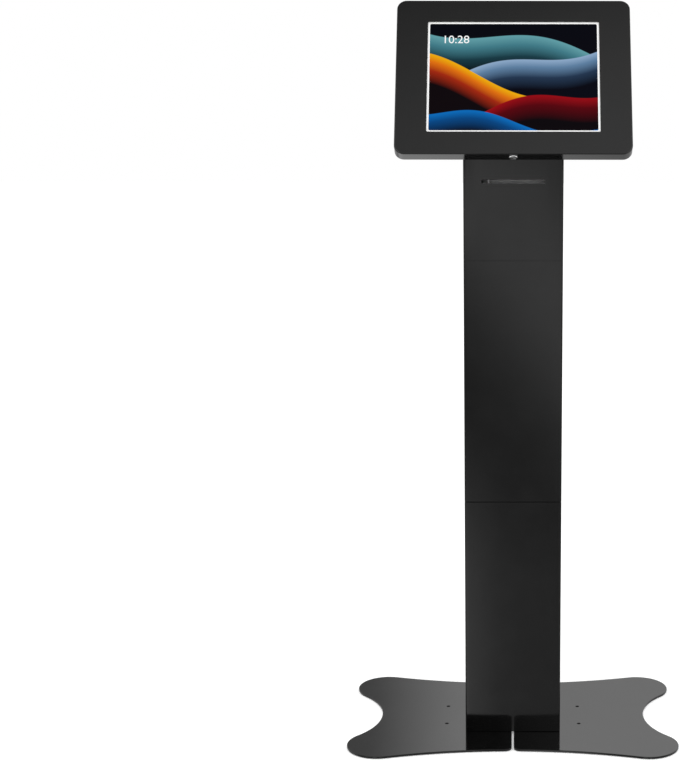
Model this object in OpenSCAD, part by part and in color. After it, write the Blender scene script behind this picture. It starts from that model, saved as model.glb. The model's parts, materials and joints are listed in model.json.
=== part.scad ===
// Floor-standing tablet kiosk with a locked enclosure, three-section column and split base.
// Millimetres. Origin at the middle of the footprint on the floor, front towards -Y, up +Z.

/* [Base] */
// Distance of each lobe's centre from the middle, across the front
lobe_x = 194; // [160:1:240]
// Distance of each lobe's centre from the middle, front to back
lobe_y = 109; // [100:1:130]
// Radius of the rounded lobe at each corner
lobe_r = 45; // [30:0.5:50]
// Half width of the base at its waist
waist_x = 195; // [150:1:210]
// Half depth of the base at the slit
mid_y = 127.5; // [112:0.5:132]
// Thickness of the two floor plates
plate_t = 3.2; // [2.5:0.1:6]
// Width of the slit between the floor plates
slit_w = 3; // [2:0.5:6]
// Corner radius at the two ends of the slit
slit_r = 10; // [5:0.5:14]
// Thickness of the rubber floor pads
pad_t = 0.8; // [0.5:0.1:3]
// Diameter of the rubber floor pads
pad_d = 24; // [15:1:30]
// Hole spacing of the floor screws, across the front
floor_hole_dx = 195; // [170:1:220]
// Hole spacing of the floor screws, front to back
floor_hole_dy = 66; // [40:1:90]
// Diameter of the floor screw holes
floor_hole_d = 5; // [3:0.5:8]

/* [Column] */
// Width of the column
col_w = 138; // [120:1:160]
// Depth of the column
col_d = 128; // [115:1:150]
// Sheet thickness of the column, doors and head
sheet_t = 1.5; // [1:0.1:2]
// Outer bend radius of the column's front edges
bend_r = 2; // [1.7:0.1:4]
// Height of the seam between the lower and middle sections
seam_1_z = 353; // [300:1:400]
// Height of the seam between the middle and upper sections
seam_2_z = 700.5; // [640:0.5:760]
// How far the upper section's back stands out past the others
head_step = 1; // [0:0.1:2]
// Width of the cable opening in each end plate
pass_w = 76; // [40:1:84]
// Depth of the cable opening in each end plate
pass_d = 60; // [30:1:70]

/* [Fasteners] */
// Diameter of the foot bolts
foot_bolt_d = 8; // [6:0.5:10]
// Diameter of the seam bolts
seam_bolt_d = 6; // [4:0.5:8]
// Diameter of the tray bolts
tray_bolt_d = 5; // [4:0.5:6]
// Thickness of the foot plate inside the column
foot_plate_t = 5; // [3:0.5:8]
// Clearance around a fixed shank in its hole
hole_clear = 0.1; // [0.05:0.05:0.3]
// Radial running clearance of pins and lock plugs
run_clear = 0.06; // [0.02:0.01:0.1]

/* [Doors] */
// Depth of each door's folded edge
door_depth = 12; // [10:0.5:16]
// Gap along the door's opening edge
door_gap = 1; // [0.8:0.1:2]
// Gap along the door's hinged edge
hinge_gap = 2; // [1.8:0.1:3]
// Gap above and below each door
door_gap_z = 0.8; // [0.5:0.1:2]
// Diameter of the hinge pins
pin_d = 3; // [2:0.5:3.5]
// Distance of a pin's axis from the door's hinged edge
pin_edge = 3.5; // [3:0.1:4]
// Distance of a pin's axis from the door's outer face
pin_face = 3.2; // [2.8:0.1:3.4]
// Width of the stop lip that the cam hooks behind
lip_w = 14; // [10:0.5:16]
// Diameter of the cable outlet hole in the lower door
outlet_d = 24; // [18:1:30]
// Height of the cable outlet above the floor
outlet_z = 44; // [36:1:80]

/* [Door locks] */
// Distance of each door lock from the column's right side
lock_in = 28; // [26:0.5:39]
// Diameter of a door lock's face ring
lock_head_d = 17; // [15:0.5:22]
// How far a door lock's face stands out
lock_head_t = 2.2; // [1:0.1:4]
// Diameter of a door lock's barrel
lock_barrel_d = 12; // [10:0.5:13]
// Diameter of a door lock's turning plug
lock_plug_d = 7.6; // [6:0.2:8.4]
// Reach of a door lock's cam from the plug's axis
cam_reach = 20; // [17:0.5:22]
// Width of a door lock's cam
cam_w = 9; // [8:0.5:12]
// Thickness of a door lock's cam
cam_t = 2; // [1.5:0.1:3]

/* [Front slot] */
// Width of the slot
slot_w = 88; // [60:1:100]
// Height of the slot
slot_h = 5.4; // [5:0.1:8]
// Height of the slot's centre above the floor
slot_z = 810; // [770:1:830]
// Depth of the chute behind the slot
slot_depth = 24; // [15:1:40]
// Wall thickness of the chute
slot_wall = 3; // [2:0.5:5]
// Position of the rib in the chute, from the middle
slot_rib_x = -34; // [-40:1:-20]

/* [Enclosure] */
// Width of the cover's frame left and right of the window
frame_side = 43.25; // [34:0.25:60]
// Width of the cover's frame above and below the window
frame_end = 33.75; // [28:0.25:50]
// Thickness of the enclosure
enc_t = 17.5; // [16.5:0.5:20]
// Corner radius of the enclosure
enc_r = 13.5; // [10:0.5:18]
// Lean of the enclosure from upright, in degrees
tilt = 32.7; // [25:0.1:38]
// Position of the face's centre, front to back
face_y = -44.2; // [-55:0.1:-38]
// Height of the face's centre
face_z = 952; // [930:1:980]
// How far the roof's rear edge lies below the face's centre
roof_drop = 0.5; // [-12:0.5:20]
// Slope of the roof, in degrees
roof_slope = 27.2; // [15:0.1:32]
// Strip of the tablet's bezel that shows left and right of the screen
show_side = 2.85; // [1:0.05:6]
// Strip of the tablet's bezel that shows above and below the screen
show_end = 2.65; // [1:0.05:5]
// Wall thickness of the cover
cover_t = 1.5; // [1.2:0.1:2]
// Gap between the cover's skirt and the tray
skirt_gap = 0.6; // [0.4:0.1:1]
// Height of the tray's edge wall
tray_wall_h = 7; // [5:0.5:8]
// Distance of the cover's hinge axis from the top and the back
cover_pin_in = 5.5; // [5.2:0.1:6]
// Diameter of the cover's hinge rod
cover_rod_d = 3; // [2.4:0.2:3.4]
// Diameter of the cable hole behind the tablet
cable_hole_d = 30; // [22:1:36]

/* [Cover lock] */
// Diameter of the cover lock's ring
cover_lock_head_d = 11.6; // [11:0.2:13]
// How far the cover lock's ring stands out
cover_lock_head_t = 1.8; // [1:0.1:3]
// Diameter of the cover lock's barrel
cover_lock_barrel_d = 9; // [8:0.2:9.6]
// Diameter of the cover lock's turning plug
cover_lock_plug_d = 6; // [5:0.2:6.4]
// Length of the cover lock's barrel inside the cover
cover_lock_barrel_l = 9.5; // [8:0.5:12]
// Reach of the cover lock's cam
cover_cam_reach = 6.6; // [6:0.1:6.8]

/* [Tablet] */
// Width of the tablet's bezel left and right of the screen
bezel_side = 9.1; // [7:0.1:14]
// Width of the tablet's bezel above and below the screen
bezel_end = 7.15; // [6:0.05:12]
// Thickness of the tablet
tab_t = 6.6; // [6:0.1:7.5]
// Corner radius of the tablet
tab_r = 12; // [9:0.5:16]
// Width of the lit screen
disp_w = 229.8; // [190:0.2:265]
// Height of the lit screen
disp_h = 164.2; // [140:0.2:200]
// Thickness of the tablet's front pane
pane_t = 0.9; // [0.7:0.1:1.2]
// Travel of the tablet's keys
key_travel = 0.3; // [0.2:0.05:0.4]

/* [Hidden] */
$fn = 64;
// shared positions of the column
base_top = pad_t + plate_t;
half_w = col_w / 2;
front_y = -col_d / 2;
rear_y = col_d / 2;
head_rear_y = rear_y + head_step;
in_w = half_w - sheet_t;
in_front = front_y + sheet_t;
lock_x = half_w - lock_in;
// floor outline: arcs that run tangent into the lobes
side_a = waist_x - lobe_x;
side_r = (side_a * side_a + lobe_y * lobe_y - lobe_r * lobe_r) / (2 * (lobe_r - side_a));
front_a = mid_y - lobe_y;
front_r = (front_a * front_a + lobe_x * lobe_x - lobe_r * lobe_r) / (2 * (lobe_r - front_a));
side_tx = lobe_x + lobe_r * (waist_x + side_r - lobe_x) / (side_r + lobe_r);
side_ty = lobe_y - lobe_r * lobe_y / (side_r + lobe_r);
front_tx = lobe_x - lobe_r * lobe_x / (front_r + lobe_r);
front_ty = lobe_y + lobe_r * (mid_y + front_r - lobe_y) / (front_r + lobe_r);
// planes of the head: back of the enclosure, and roof
roof_rear_z = face_z - roof_drop;
back_y = face_y + enc_t * cos(tilt);
back_z = face_z - enc_t * sin(tilt);
apex_y = (roof_rear_z - back_z + head_rear_y * tan(roof_slope) + back_y / tan(tilt))
    / (1 / tan(tilt) + tan(roof_slope));
apex_z = back_z + (apex_y - back_y) / tan(tilt);
front_top_z = back_z + (front_y - back_y) / tan(tilt);
// where the mounting face begins and ends, measured along the face
mount_low = (front_y - back_y) / sin(tilt);
mount_high = (apex_y - back_y) / sin(tilt);
// doors
pin_x = -(in_w - hinge_gap - pin_edge);
pin_r = pin_d / 2;
door_left = -(in_w - hinge_gap);
door_right = in_w - door_gap;
lip_y = door_depth + 0.5;
lower_top = seam_1_z;
middle_top = seam_2_z;
// the upper door stops below the roof's rear edge
upper_top = roof_rear_z - 6;
lower_lock_z = (base_top + lower_top) / 2;
middle_lock_z = (seam_1_z + seam_2_z) / 2;
upper_lock_z = (seam_2_z + upper_top) / 2;
lock_barrel_l = lip_y + sheet_t + 0.7;
lock_nut_d = lock_barrel_d + 7;
lock_nut_t = 3;
// foot bolts stand inside the column, clear of the cable opening
foot_bolt_x = pass_w / 2 + 15;
foot_bolt_y = pass_d / 2;
seam_bolt_x = pass_w / 2 + 13;
seam_bolt_y = pass_d / 2 - 2;
nut_gap = 0.05;
// how deep the chute's screws go into the front sheet
guide_bite = sheet_t - 0.5;
// how far cutting outlines run past the head
cut_out = 40;
cut_low = seam_2_z - cut_out;
foot_stack = plate_t + sheet_t + foot_plate_t;
foot_head_h = min(plate_t - 0.4, foot_bolt_d * 0.45);
// enclosure, in its own frame: x across, y up the face, z out of the face
tab_w = disp_w + 2 * bezel_side;
tab_h = disp_h + 2 * bezel_end;
window_w = disp_w + 2 * show_side;
window_h = disp_h + 2 * show_end;
enc_w = window_w + 2 * frame_side;
enc_h = window_h + 2 * frame_end;
half_h = enc_h / 2;
tray_front = -enc_t + sheet_t;
tray_w = enc_w - 2 * (cover_t + skirt_gap);
tray_h = enc_h - 2 * (cover_t + skirt_gap);
rod_y = half_h - cover_pin_in;
rod_z = -enc_t + cover_pin_in;
rod_r = cover_rod_d / 2;
barrel_r = rod_r + 1.5;
knuckle_w = 12;
knuckle_in = enc_w / 2 - enc_r - knuckle_w - 2;
tray_top = rod_y - 7;
tab_front = -cover_t - 0.5;
tab_back = tab_front - tab_t;
tray_bolt_u = 48;
tray_bolt_low = mount_low + 22;
tray_bolt_high = mount_high - 16;
cable_v = (mount_low + mount_high) / 2;
lock_w = -enc_t / 2;
cover_cam_v = -half_h + cover_t + cover_lock_barrel_l + 0.3;
cover_cam_t = 1.5;
cover_hub_r = 3.4;
keeper_u = cover_hub_r + 0.6;
keeper_z = lock_w + cover_hub_r + 0.4;
key_w = 3;
key_in = 54;
key_l = 11;
key_z = tab_back + tab_t / 2;

black = [0.09, 0.09, 0.1];
steel = [0.62, 0.63, 0.65];
rubber = [0.14, 0.14, 0.15];
grey = [0.42, 0.42, 0.43];

// rectangle with true rounded corners, centred
module round_rect(w, h, r) {
    square([w - 2 * r, h], center = true);
    square([w, h - 2 * r], center = true);
    for (sx = [-1, 1])
        for (sy = [-1, 1])
            translate([sx * (w / 2 - r), sy * (h / 2 - r)]) circle(r);
}

// places what is drawn in the enclosure's own frame
module on_face() {
    translate([0, face_y, face_z]) rotate([90 - tilt, 0, 0]) children();
}

// places a profile drawn as [front-to-back, height] and runs it across the column
module across(w) {
    rotate([90, 0, 90]) translate([0, 0, -w / 2]) linear_extrude(w) children();
}

// outline of one floor plate on the +X side
module plate_outline() {
    difference() {
        union() {
            difference() {
                polygon([
                    [slit_w / 2, -front_ty], [front_tx, -front_ty], [side_tx, -side_ty],
                    [side_tx, side_ty], [front_tx, front_ty], [slit_w / 2, front_ty]
                ]);
                translate([waist_x + side_r, 0]) circle(side_r);
                for (s = [-1, 1])
                    translate([0, s * (mid_y + front_r)]) circle(front_r);
            }
            for (s = [-1, 1])
                translate([lobe_x, s * lobe_y]) circle(lobe_r);
        }
        for (s = [-1, 1])
            slit_corner(s);
    }
}

// rounds one end of the slit
module slit_corner(s) {
    c_x = slit_w / 2 + slit_r;
    c_y = mid_y + front_r - sqrt(pow(front_r + slit_r, 2) - c_x * c_x);
    difference() {
        translate([0, s > 0 ? c_y : -c_y - slit_r - 2]) square([c_x, slit_r + 2]);
        translate([c_x, s * c_y]) circle(slit_r);
    }
}

module base_plate(s) {
    color(black) difference() {
        translate([0, 0, pad_t]) linear_extrude(plate_t) mirror([s < 0 ? 1 : 0, 0]) plate_outline();
        for (sy = [-1, 1]) {
            translate([s * floor_hole_dx / 2, sy * floor_hole_dy / 2, 0])
                cylinder(h = base_top + 1, d = floor_hole_d);
            translate([s * foot_bolt_x, sy * foot_bolt_y, 0]) {
                cylinder(h = base_top + 1, r = foot_bolt_d / 2 + hole_clear);
                translate([0, 0, pad_t - 0.01])
                    cylinder(h = foot_head_h + 0.01, r1 = foot_bolt_d / 2 + foot_head_h + hole_clear,
                        r2 = foot_bolt_d / 2 + hole_clear);
            }
        }
    }
}

module base_plate_left() base_plate(-1);
module base_plate_right() base_plate(1);

module base_pads() {
    color(rubber)
        for (sx = [-1, 1])
            for (sy = [-1, 1]) {
                translate([sx * lobe_x, sy * lobe_y, 0]) cylinder(h = pad_t, d = pad_d);
                translate([sx * (slit_w / 2 + slit_r + pad_d / 2), sy * (mid_y - pad_d), 0])
                    cylinder(h = pad_t, d = pad_d);
            }
}

module at_foot_bolts() {
    for (sx = [-1, 1])
        for (sy = [-1, 1])
            translate([sx * foot_bolt_x, sy * foot_bolt_y, 0]) children();
}

module foot_plate() {
    color(steel) translate([0, 0, base_top + sheet_t]) difference() {
        linear_extrude(foot_plate_t) difference() {
            round_rect(2 * in_w - 6, col_d - 2 * (door_depth + 4), 6);
            round_rect(pass_w, pass_d, 8);
        }
        translate([0, 0, -1])
            at_foot_bolts() cylinder(h = foot_plate_t + 2, r = foot_bolt_d / 2 + hole_clear);
    }
}

module foot_bolts() {
    color(steel) at_foot_bolts() translate([0, 0, pad_t]) {
        cylinder(h = foot_head_h, r1 = foot_bolt_d / 2 + foot_head_h, r2 = foot_bolt_d / 2);
        cylinder(h = foot_stack + foot_bolt_d * 1.1, r = foot_bolt_d / 2);
    }
}

module hex_nut(d, t) {
    difference() {
        cylinder(h = t, d = d * 1.9, $fn = 6);
        translate([0, 0, -1]) cylinder(h = t + 2, r = d / 2 + nut_gap);
    }
}

module foot_nuts() {
    color(steel) at_foot_bolts() translate([0, 0, pad_t + foot_stack])
        hex_nut(foot_bolt_d, foot_bolt_d * 0.8);
}

// folded sheet seen from above: front and two sides, open at the back
module channel(back) {
    r_in = bend_r - sheet_t;
    difference() {
        union() {
            translate([-half_w, front_y + bend_r]) square([col_w, back - front_y - bend_r]);
            translate([-half_w + bend_r, front_y]) square([col_w - 2 * bend_r, col_d / 2]);
            for (s = [-1, 1])
                translate([s * (half_w - bend_r), front_y + bend_r]) circle(bend_r);
        }
        translate([-in_w, in_front + r_in]) square([2 * in_w, col_d + 20]);
        translate([-in_w + r_in, in_front]) square([2 * (in_w - r_in), col_d / 2]);
        for (s = [-1, 1])
            translate([s * (in_w - r_in), in_front + r_in]) circle(r_in);
    }
}

// flat plate across the column, with the cable opening
module end_plate(back) {
    difference() {
        translate([-in_w - sheet_t / 2, in_front - sheet_t / 2])
            square([2 * in_w + sheet_t, back - in_front + sheet_t / 2]);
        round_rect(pass_w, pass_d, 8);
    }
}

module at_seam_bolts() {
    for (sx = [-1, 1])
        for (sy = [-1, 1])
            translate([sx * seam_bolt_x, sy * seam_bolt_y, 0]) children();
}

// upright lip on the lock side that a door closes against and its cam hooks behind
module stop_lip(back, z0, z1) {
    translate([in_w - lip_w, back - lip_y - sheet_t, z0]) cube([lip_w + sheet_t / 2, sheet_t, z1 - z0]);
}

module pin_hole(back, z) {
    translate([pin_x, back - pin_face, z - sheet_t]) cylinder(h = 3 * sheet_t, r = pin_r + hole_clear);
}

module lower_column() {
    color(black) difference() {
        union() {
            translate([0, 0, base_top]) linear_extrude(lower_top - base_top) channel(rear_y);
            translate([0, 0, base_top]) linear_extrude(sheet_t) end_plate(rear_y);
            translate([0, 0, lower_top - sheet_t]) linear_extrude(sheet_t) end_plate(rear_y);
            stop_lip(rear_y, base_top, lower_top);
        }
        at_foot_bolts() cylinder(h = base_top + 3 * sheet_t, r = foot_bolt_d / 2 + hole_clear);
        translate([0, 0, lower_top - 2 * sheet_t])
            at_seam_bolts() cylinder(h = 4 * sheet_t, r = seam_bolt_d / 2 + hole_clear);
        pin_hole(rear_y, base_top);
        pin_hole(rear_y, lower_top - sheet_t);
    }
}

module middle_column() {
    color(black) difference() {
        union() {
            translate([0, 0, seam_1_z]) linear_extrude(middle_top - seam_1_z) channel(rear_y);
            translate([0, 0, seam_1_z]) linear_extrude(sheet_t) end_plate(rear_y);
            translate([0, 0, middle_top - sheet_t]) linear_extrude(sheet_t) end_plate(rear_y);
            stop_lip(rear_y, seam_1_z, middle_top);
        }
        for (z = [seam_1_z, middle_top])
            translate([0, 0, z - 2 * sheet_t])
                at_seam_bolts() cylinder(h = 4 * sheet_t, r = seam_bolt_d / 2 + hole_clear);
        pin_hole(rear_y, seam_1_z);
        pin_hole(rear_y, middle_top - sheet_t);
    }
}

// side outline of the upper section, as [front-to-back, height]
module head_outline() {
    polygon([
        [front_y, seam_2_z], [head_rear_y, seam_2_z], [head_rear_y, roof_rear_z],
        [apex_y, apex_z], [front_y, front_top_z]
    ]);
}

module upper_column() {
    color(black) difference() {
        union() {
            intersection() {
                translate([0, 0, seam_2_z]) linear_extrude(apex_z - seam_2_z + 1) channel(head_rear_y);
                across(col_w + 2) head_outline();
            }
            translate([0, 0, seam_2_z]) linear_extrude(sheet_t) end_plate(head_rear_y);
            // shelf above the door that holds the upper pin
            translate([-in_w - sheet_t / 2, head_rear_y - 2 * door_depth, upper_top - sheet_t])
                cube([2 * in_w + sheet_t, 2 * door_depth, sheet_t]);
            // strip that closes the back between the door and the roof
            translate([-in_w - sheet_t / 2, head_rear_y - sheet_t, upper_top - sheet_t])
                cube([2 * in_w + sheet_t, sheet_t, roof_rear_z - upper_top - sheet_t]);
            stop_lip(head_rear_y, seam_2_z, upper_top);
        }
        translate([0, 0, seam_2_z - 2 * sheet_t])
            at_seam_bolts() cylinder(h = 4 * sheet_t, r = seam_bolt_d / 2 + hole_clear);
        pin_hole(head_rear_y, seam_2_z);
        pin_hole(head_rear_y, upper_top - sheet_t);
        translate([-slot_w / 2, front_y - 1, slot_z - slot_h / 2]) cube([slot_w, sheet_t + 2, slot_h]);
        // the screws end inside the sheet, so that its front stays plain
        at_guide_screws() translate([0, 0, -1]) cylinder(h = 1 + guide_bite, r = 1.5 + hole_clear);
    }
}

module seam_bolts() {
    color(steel)
        for (z = [seam_1_z, seam_2_z])
            translate([0, 0, z - sheet_t]) at_seam_bolts() {
                translate([0, 0, -seam_bolt_d * 0.65])
                    cylinder(h = seam_bolt_d * 0.65, d = seam_bolt_d * 1.85, $fn = 6);
                translate([0, 0, -0.5])
                    cylinder(h = 2 * sheet_t + seam_bolt_d + 1, d = seam_bolt_d);
            }
}

module seam_nuts() {
    color(steel)
        for (z = [seam_1_z, seam_2_z])
            translate([0, 0, z + sheet_t]) at_seam_bolts() hex_nut(seam_bolt_d, seam_bolt_d * 0.8);
}

// folded sheet under the roof and behind the enclosure
module head_cap() {
    w = 2 * in_w - 0.2;
    lap = sheet_t / cos(roof_slope);
    color(black) difference() {
        across(w) difference() {
            intersection() {
                head_outline();
                translate([in_front + 0.1, seam_2_z])
                    square([head_rear_y - in_front - sheet_t - 0.2, apex_z]);
            }
            polygon([
                [front_y - cut_out, front_top_z - sheet_t / sin(tilt) - cut_out / tan(tilt)],
                [apex_y, apex_z - sheet_t / sin(tilt)],
                [apex_y, cut_low], [front_y - cut_out, cut_low]
            ]);
            polygon([
                [apex_y - 0.01, apex_z - max(lap, sheet_t / sin(tilt))],
                [head_rear_y + cut_out, roof_rear_z - lap - cut_out * tan(roof_slope)],
                [head_rear_y + cut_out, cut_low], [apex_y - 0.01, cut_low]
            ]);
        }
        on_face() {
            at_tray_bolts() cylinder(h = cut_out, r = tray_bolt_d / 2 + hole_clear, center = true);
            translate([0, cable_v, -enc_t]) cylinder(h = 20, d = cable_hole_d, center = true);
        }
    }
}

module at_tray_bolts() {
    for (u = [-tray_bolt_u, tray_bolt_u])
        for (v = [tray_bolt_low, tray_bolt_high])
            translate([u, v, -enc_t]) children();
}

// ring with a groove for a hole of diameter d in a stack of thickness t
module grommet(d, t) {
    lip = 1.6;
    rotate_extrude() {
        translate([d / 2 - 4, -t / 2 - lip]) square([3.9, t + 2 * lip]);
        translate([d / 2 - 4, -t / 2 - lip]) square([7, lip]);
        translate([d / 2 - 4, t / 2]) square([7, lip]);
    }
}

module head_grommet() {
    color(rubber) on_face() translate([0, cable_v, -enc_t]) grommet(cable_hole_d, 2 * sheet_t);
}

module at_guide_screws() {
    for (s = [-1, 1])
        translate([s * (slot_w / 2 + 7), in_front, slot_z]) rotate([90, 0, 0]) children();
}

module slot_guide() {
    out_h = slot_h + 2 * slot_wall;
    color(grey) difference() {
        union() {
            translate([-slot_w / 2 - slot_wall, in_front, slot_z - out_h / 2])
                cube([slot_w + 2 * slot_wall, slot_depth, out_h]);
            translate([-slot_w / 2 - 14, in_front, slot_z - out_h / 2]) cube([slot_w + 28, 2.5, out_h]);
        }
        difference() {
            translate([-slot_w / 2, in_front - 1, slot_z - slot_h / 2])
                cube([slot_w, slot_depth - slot_wall + 1, slot_h]);
            translate([slot_rib_x - 1.2, in_front - 1, slot_z - slot_h / 2 - 1])
                cube([2.4, slot_depth + 2, slot_h + 2]);
        }
        at_guide_screws() cylinder(h = 12, r = 1.5 + hole_clear, center = true);
    }
}

// screws driven from inside into blind holes in the front sheet
module guide_screws() {
    color(steel) at_guide_screws() {
        translate([0, 0, -4.3]) cylinder(h = 1.8, d = 5.6);
        translate([0, 0, -3]) cylinder(h = 3 + guide_bite - 0.1, r = 1.5);
    }
}

// the two pins that one door swings on
module hinge_pins(back, z0, z1) {
    len = sheet_t + door_gap_z + sheet_t + 4;
    color(steel) {
        translate([pin_x, back - pin_face, z0 + 0.1]) cylinder(h = len, r = pin_r);
        translate([pin_x, back - pin_face, z1 - 0.1 - len]) cylinder(h = len, r = pin_r);
    }
}

module lower_hinge_pins() hinge_pins(rear_y, base_top, lower_top);
module middle_hinge_pins() hinge_pins(rear_y, seam_1_z, middle_top);
module upper_hinge_pins() hinge_pins(head_rear_y, seam_2_z, upper_top);

// tray-shaped door between the end plates at z0 and z1
module door(back, z0, z1, lock_z) {
    low = z0 + sheet_t + door_gap_z;
    high = z1 - sheet_t - door_gap_z;
    difference() {
        union() {
            translate([door_left, back - sheet_t, low]) cube([door_right - door_left, sheet_t, high - low]);
            for (z = [low, high - sheet_t])
                translate([door_left, back - door_depth, z])
                    cube([door_right - door_left, door_depth, sheet_t]);
            translate([door_right - sheet_t, back - door_depth, low]) cube([sheet_t, door_depth, high - low]);
        }
        translate([pin_x, back - pin_face, low - 1]) cylinder(h = sheet_t + 2, r = pin_r + run_clear);
        translate([pin_x, back - pin_face, high - sheet_t - 1])
            cylinder(h = sheet_t + 2, r = pin_r + run_clear);
        translate([lock_x, back - 3 * sheet_t, lock_z]) rotate([-90, 0, 0])
            cylinder(h = 5 * sheet_t, r = lock_barrel_d / 2 + hole_clear);
    }
}

module lower_door() {
    color(black) difference() {
        door(rear_y, base_top, lower_top, lower_lock_z);
        translate([0, rear_y - 3 * sheet_t, outlet_z]) rotate([-90, 0, 0])
            cylinder(h = 5 * sheet_t, d = outlet_d);
    }
}

module middle_door() color(black) door(rear_y, seam_1_z, middle_top, middle_lock_z);
module upper_door() color(black) door(head_rear_y, seam_2_z, upper_top, upper_lock_z);

module outlet_grommet() {
    color(rubber) translate([0, rear_y - sheet_t / 2, outlet_z]) rotate([-90, 0, 0])
        grommet(outlet_d, sheet_t);
}

// places a lock with its face outward: local z points out of the door
module at_lock(back, z) {
    translate([lock_x, back, z]) rotate([-90, 0, 0]) children();
}

module lock_body(back, z) {
    color(steel) at_lock(back, z) rotate_extrude() {
        r_in = lock_plug_d / 2 + run_clear;
        polygon([
            [r_in, -sheet_t - lock_barrel_l + sheet_t], [lock_barrel_d / 2, -lock_barrel_l],
            [lock_barrel_d / 2, 0], [lock_head_d / 2, 0], [lock_head_d / 2, lock_head_t * 0.5],
            [lock_head_d / 2 - lock_head_t * 0.5, lock_head_t], [r_in, lock_head_t]
        ]);
    }
}

module lock_nut(back, z) {
    color(steel) at_lock(back, z) translate([0, 0, -sheet_t - lock_nut_t])
        difference() {
            cylinder(h = lock_nut_t, d = lock_nut_d, $fn = 6);
            translate([0, 0, -1]) cylinder(h = lock_nut_t + 2, r = lock_barrel_d / 2 + nut_gap);
        }
}

// turning core with a key slot; its tail carries the cam
module lock_plug(back, z) {
    color(steel) at_lock(back, z) difference() {
        union() {
            translate([0, 0, -lock_barrel_l - 0.2])
                cylinder(h = lock_barrel_l + lock_head_t, d = lock_plug_d);
            translate([0, 0, -lock_barrel_l - cam_t - 1.6]) cylinder(h = cam_t + 2, d = lock_plug_d * 0.6);
            translate([0, 0, -lock_barrel_l - cam_t - 2.2]) cylinder(h = 1.6, d = lock_plug_d * 0.9);
        }
        translate([-0.8, -lock_plug_d * 0.36, lock_head_t - 2.2]) cube([1.6, lock_plug_d * 0.72, 3]);
    }
}

// flat cam that hangs down when unlocked
module lock_cam(back, z) {
    color(steel) at_lock(back, z) translate([0, 0, -lock_barrel_l - cam_t - 0.4]) difference() {
        union() {
            cylinder(h = cam_t, d = cam_w + 2);
            translate([-cam_w / 2, 0, 0]) cube([cam_w, cam_reach - cam_w / 2, cam_t]);
            translate([0, cam_reach - cam_w / 2, 0]) cylinder(h = cam_t, d = cam_w);
        }
        translate([0, 0, -1]) cylinder(h = cam_t + 2, r = lock_plug_d * 0.3 + nut_gap);
    }
}

module lower_lock_body() lock_body(rear_y, lower_lock_z);
module lower_lock_nut() lock_nut(rear_y, lower_lock_z);
module lower_lock_plug() lock_plug(rear_y, lower_lock_z);
module lower_lock_cam() lock_cam(rear_y, lower_lock_z);
module middle_lock_body() lock_body(rear_y, middle_lock_z);
module middle_lock_nut() lock_nut(rear_y, middle_lock_z);
module middle_lock_plug() lock_plug(rear_y, middle_lock_z);
module middle_lock_cam() lock_cam(rear_y, middle_lock_z);
module upper_lock_body() lock_body(head_rear_y, upper_lock_z);
module upper_lock_nut() lock_nut(head_rear_y, upper_lock_z);
module upper_lock_plug() lock_plug(head_rear_y, upper_lock_z);
module upper_lock_cam() lock_cam(head_rear_y, upper_lock_z);

// runs a profile drawn as [up the face, out of the face] across the enclosure from u0 to u1
module along(u0, u1) {
    translate([u0, 0, 0]) rotate([90, 0, 90]) linear_extrude(u1 - u0) children();
}

module enclosure_tray() {
    low = -tray_h / 2;
    color(black) on_face() difference() {
        union() {
            // back plate, cut short below the hinge
            intersection() {
                translate([0, 0, -enc_t]) linear_extrude(sheet_t)
                    round_rect(tray_w, tray_h, enc_r - cover_t - skirt_gap);
                translate([-enc_w, -enc_h, -enc_t - 1]) cube([2 * enc_w, enc_h + tray_top, sheet_t + 2]);
            }
            // edge wall round the sides and the bottom
            intersection() {
                translate([0, 0, -enc_t]) linear_extrude(tray_wall_h) difference() {
                    round_rect(tray_w, tray_h, enc_r - cover_t - skirt_gap);
                    round_rect(tray_w - 2 * sheet_t, tray_h - 2 * sheet_t,
                        enc_r - cover_t - skirt_gap - sheet_t);
                }
                translate([-enc_w, -enc_h, -enc_t - 1]) cube([2 * enc_w, enc_h + tray_top, enc_t]);
            }
            // rolled barrel along the top and the neck that carries it
            along(-knuckle_in, knuckle_in) {
                translate([rod_y, rod_z]) circle(barrel_r);
                polygon([
                    [tray_top - 1, -enc_t], [tray_top + 0.4, -enc_t], [rod_y - 1.6, rod_z - barrel_r * 0.6],
                    [rod_y - 1.6, rod_z + 0.5], [tray_top - 1, -enc_t + sheet_t]
                ]);
            }
            // hooked keeper for the cover's lock
            translate([-keeper_u - 5, cover_cam_v - 1.5, -enc_t]) cube([1.5, 5, keeper_z + 1.5 + enc_t]);
            translate([-keeper_u - 5, cover_cam_v - 1.5, keeper_z]) cube([5, 5, 1.5]);
        }
        translate([-enc_w, rod_y, rod_z]) rotate([0, 90, 0]) cylinder(h = 2 * enc_w, r = rod_r + hole_clear);
        at_tray_bolts() cylinder(h = 10, r = tray_bolt_d / 2 + hole_clear, center = true);
        translate([0, cable_v, -enc_t]) cylinder(h = 10, d = cable_hole_d, center = true);
        // room for the lock's barrel at the bottom wall
        translate([-cover_lock_barrel_d / 2 - 2, low - 1, lock_w - cover_lock_barrel_d / 2 - 1])
            cube([cover_lock_barrel_d + 4, sheet_t + 3, enc_t]);
    }
}

module tray_bolts() {
    color(steel) on_face() at_tray_bolts() {
        translate([0, 0, sheet_t]) cylinder(h = tray_bolt_d * 0.5, d = tray_bolt_d * 1.9);
        translate([0, 0, -2 * sheet_t - tray_bolt_d])
            cylinder(h = 3 * sheet_t + tray_bolt_d + 0.5, d = tray_bolt_d);
    }
}

module tray_nuts() {
    color(steel) on_face() at_tray_bolts() translate([0, 0, -sheet_t - tray_bolt_d * 0.8])
        hex_nut(tray_bolt_d, tray_bolt_d * 0.8);
}

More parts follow.
